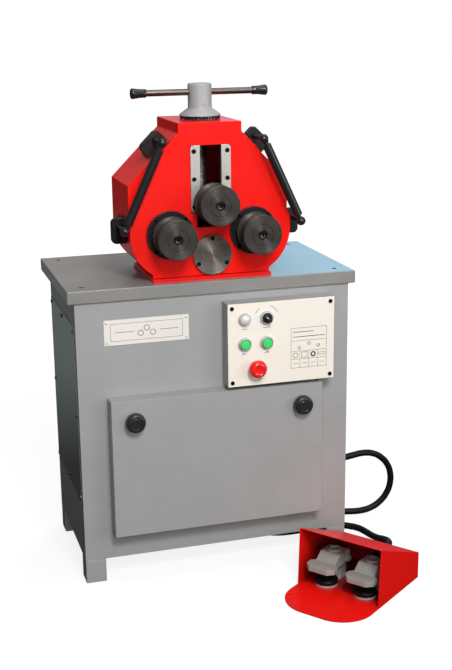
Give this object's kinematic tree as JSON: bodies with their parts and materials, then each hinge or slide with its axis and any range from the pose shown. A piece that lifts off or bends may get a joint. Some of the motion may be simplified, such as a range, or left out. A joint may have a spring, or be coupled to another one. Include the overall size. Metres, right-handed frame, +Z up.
{
  "type": "angle roll bender",
  "caption": "Motorised roll bender: geared lower rolls and a screw-fed upper roll in a red head on a grey cabinet with push-button controls and a hooded foot switch",
  "frame": {"origin": "on the floor at the centre of the four legs' anchor holes", "axes": "X to the operator's right, Y to the back, Z up"},
  "size_m": [0.8345, 0.7242, 1.0863],
  "materials": {
    "cabinet_grey": "satin powder coat",
    "table_grey": "worn satin paint",
    "cover_grey": "gloss paint",
    "plate_cream": "satin paint",
    "name_silver": "satin sheet, bare",
    "head_red": "gloss paint on steel",
    "hood_red": "gloss paint",
    "bright_steel": "ground",
    "hub_silver": "turned, satin",
    "black_oxide": "turned and blackened",
    "scale_black": "satin black, white graduation",
    "bush_bronze": "bored",
    "bezel_chrome": "polished",
    "black_plastic": "moulded",
    "button_green": "moulded",
    "stop_red": "moulded",
    "lamp_white": "clear white",
    "machine_dark": "painted casting",
    "pedal_cast": "cast, worn",
    "cable_black": "smooth hose"
  },
  "bodies": {
    "frame": {"cabinet_shell": "cabinet_grey", "legs": "cabinet_grey", "table_top": "table_grey", "left_side_cover": "cover_grey", "right_side_cover": "cover_grey", "side_cover_screws": "bright_steel", "name_plate": "name_silver", "control_box": "cabinet_grey", "control_plate": "plate_cream", "control_plate_screws": "bright_steel", "operator_bezels": "bezel_chrome", "power_lamp": "lamp_white", "contact_blocks": "black_plastic", "electrical_plate": "bright_steel", "contactors": "black_plastic", "motor": "machine_dark", "gearbox": "machine_dark", "gear_case": "head_red", "front_plate": "head_red", "guide_rails": "bright_steel", "head_screws": "black_oxide", "drive_cover": "bright_steel", "bearing_caps": "black_oxide", "shaft_bearings": "bright_steel", "scale_ring": "scale_black", "screw_bush": "bush_bronze", "bar_brackets": "black_oxide", "bar_pins": "bright_steel", "side_bars": "black_oxide", "cable_glands": "black_plastic", "foot_cable": "cable_black", "pedal_hood": "hood_red", "pedal_bases": "pedal_cast"},
    "drive": {"drive_shaft": "bright_steel", "drive_gear": "bright_steel"},
    "left_roller": {"left_roll_shaft": "bright_steel", "left_roll_gear": "bright_steel", "left_roll": "black_oxide", "left_roll_cap": "black_oxide"},
    "right_roller": {"right_roll_shaft": "bright_steel", "right_roll_gear": "bright_steel", "right_roll": "black_oxide", "right_roll_cap": "black_oxide"},
    "slide": {"slide_block": "black_oxide"},
    "upper_roller": {"upper_shaft": "bright_steel", "upper_roll": "black_oxide", "upper_roll_cap": "black_oxide"},
    "screw": {"lead_screw": "bright_steel", "screw_hub": "hub_silver"},
    "bar": {"tommy_bar": "black_oxide", "bar_ends": "black_plastic"},
    "cover": {"front_cover": "cabinet_grey"},
    "left_cover_knob": {"left_knob": "black_plastic"},
    "right_cover_knob": {"right_knob": "black_plastic"},
    "selector": {"selector_knob": "black_plastic"},
    "left_push": {"left_button": "button_green"},
    "right_push": {"right_button": "button_green"},
    "stop": {"stop_button": "stop_red"},
    "left_foot": {"left_pedal": "pedal_cast"},
    "right_foot": {"right_pedal": "pedal_cast"}
  },
  "joints": [
    {"name": "left_roll_spin", "type": "hinge", "parent": "frame", "child": "left_roller", "pos_m": [-0.093, 0, 0.774], "axis": [0, 1, 0], "continuous": true},
    {"name": "drive_spin", "type": "hinge", "parent": "frame", "child": "drive", "pos_m": [0, 0, 0.72526], "axis": [0, 1, 0], "continuous": true},
    {"name": "right_roll_spin", "type": "hinge", "parent": "frame", "child": "right_roller", "pos_m": [0.093, 0, 0.774], "axis": [0, 1, 0], "continuous": true},
    {"name": "screw_turn", "type": "hinge", "parent": "frame", "child": "screw", "pos_m": [0, -0.0655, 0], "axis": [0, 0, 1], "range_deg": [-1440, 4320]},
    {"name": "upper_slide", "type": "slide", "parent": "frame", "child": "slide", "axis": [0, 0, 1], "range_m": [-0.024, 0.072]},
    {"name": "upper_roll_spin", "type": "hinge", "parent": "slide", "child": "upper_roller", "pos_m": [0, 0, 0.841], "axis": [0, 1, 0], "continuous": true},
    {"name": "bar_slide", "type": "slide", "parent": "screw", "child": "bar", "axis": [1, 0, 0], "range_m": [-0.09, 0.09]},
    {"name": "cover_pull", "type": "slide", "parent": "frame", "child": "cover", "axis": [0, -1, 0], "range_m": [0, 0.06]},
    {"name": "left_knob_turn", "type": "hinge", "parent": "cover", "child": "left_cover_knob", "pos_m": [-0.197, 0, 0.385], "axis": [0, 1, 0], "range_deg": [0, 90]},
    {"name": "right_knob_turn", "type": "hinge", "parent": "cover", "child": "right_cover_knob", "pos_m": [0.185, 0, 0.385], "axis": [0, 1, 0], "range_deg": [0, 90]},
    {"name": "selector_turn", "type": "hinge", "parent": "frame", "child": "selector", "pos_m": [0.102, 0, 0.591], "axis": [0, 1, 0], "range_deg": [-45, 45]},
    {"name": "left_button_push", "type": "slide", "parent": "frame", "child": "left_push", "axis": [0, 1, 0], "range_m": [0, 0.004], "stiffness_N_per_m": 800, "springref_m": -0.002},
    {"name": "right_button_push", "type": "slide", "parent": "frame", "child": "right_push", "axis": [0, 1, 0], "range_m": [0, 0.004], "stiffness_N_per_m": 800, "springref_m": -0.002},
    {"name": "stop_push", "type": "slide", "parent": "frame", "child": "stop", "axis": [0, 1, 0], "range_m": [0, 0.005]},
    {"name": "left_pedal_tilt", "type": "hinge", "parent": "frame", "child": "left_foot", "pos_m": [0.23612, -0.30939, 0.054], "axis": [0.6088, -0.7934, 0], "range_deg": [0, 8], "stiffness_Nm_per_rad": 8, "springref_deg": -5.73},
    {"name": "right_pedal_tilt", "type": "hinge", "parent": "frame", "child": "right_foot", "pos_m": [0.29517, -0.38634, 0.054], "axis": [0.6088, -0.7934, 0], "range_deg": [0, 8], "stiffness_Nm_per_rad": 8, "springref_deg": -5.73}
  ],
  "couplings": [
    {"joint": "drive_spin", "follows": "left_roll_spin", "ratio": -1.6923},
    {"joint": "right_roll_spin", "follows": "left_roll_spin", "ratio": 1},
    {"joint": "upper_slide", "follows": "screw_turn", "m_per_rad": 0.00095493}
  ]
}
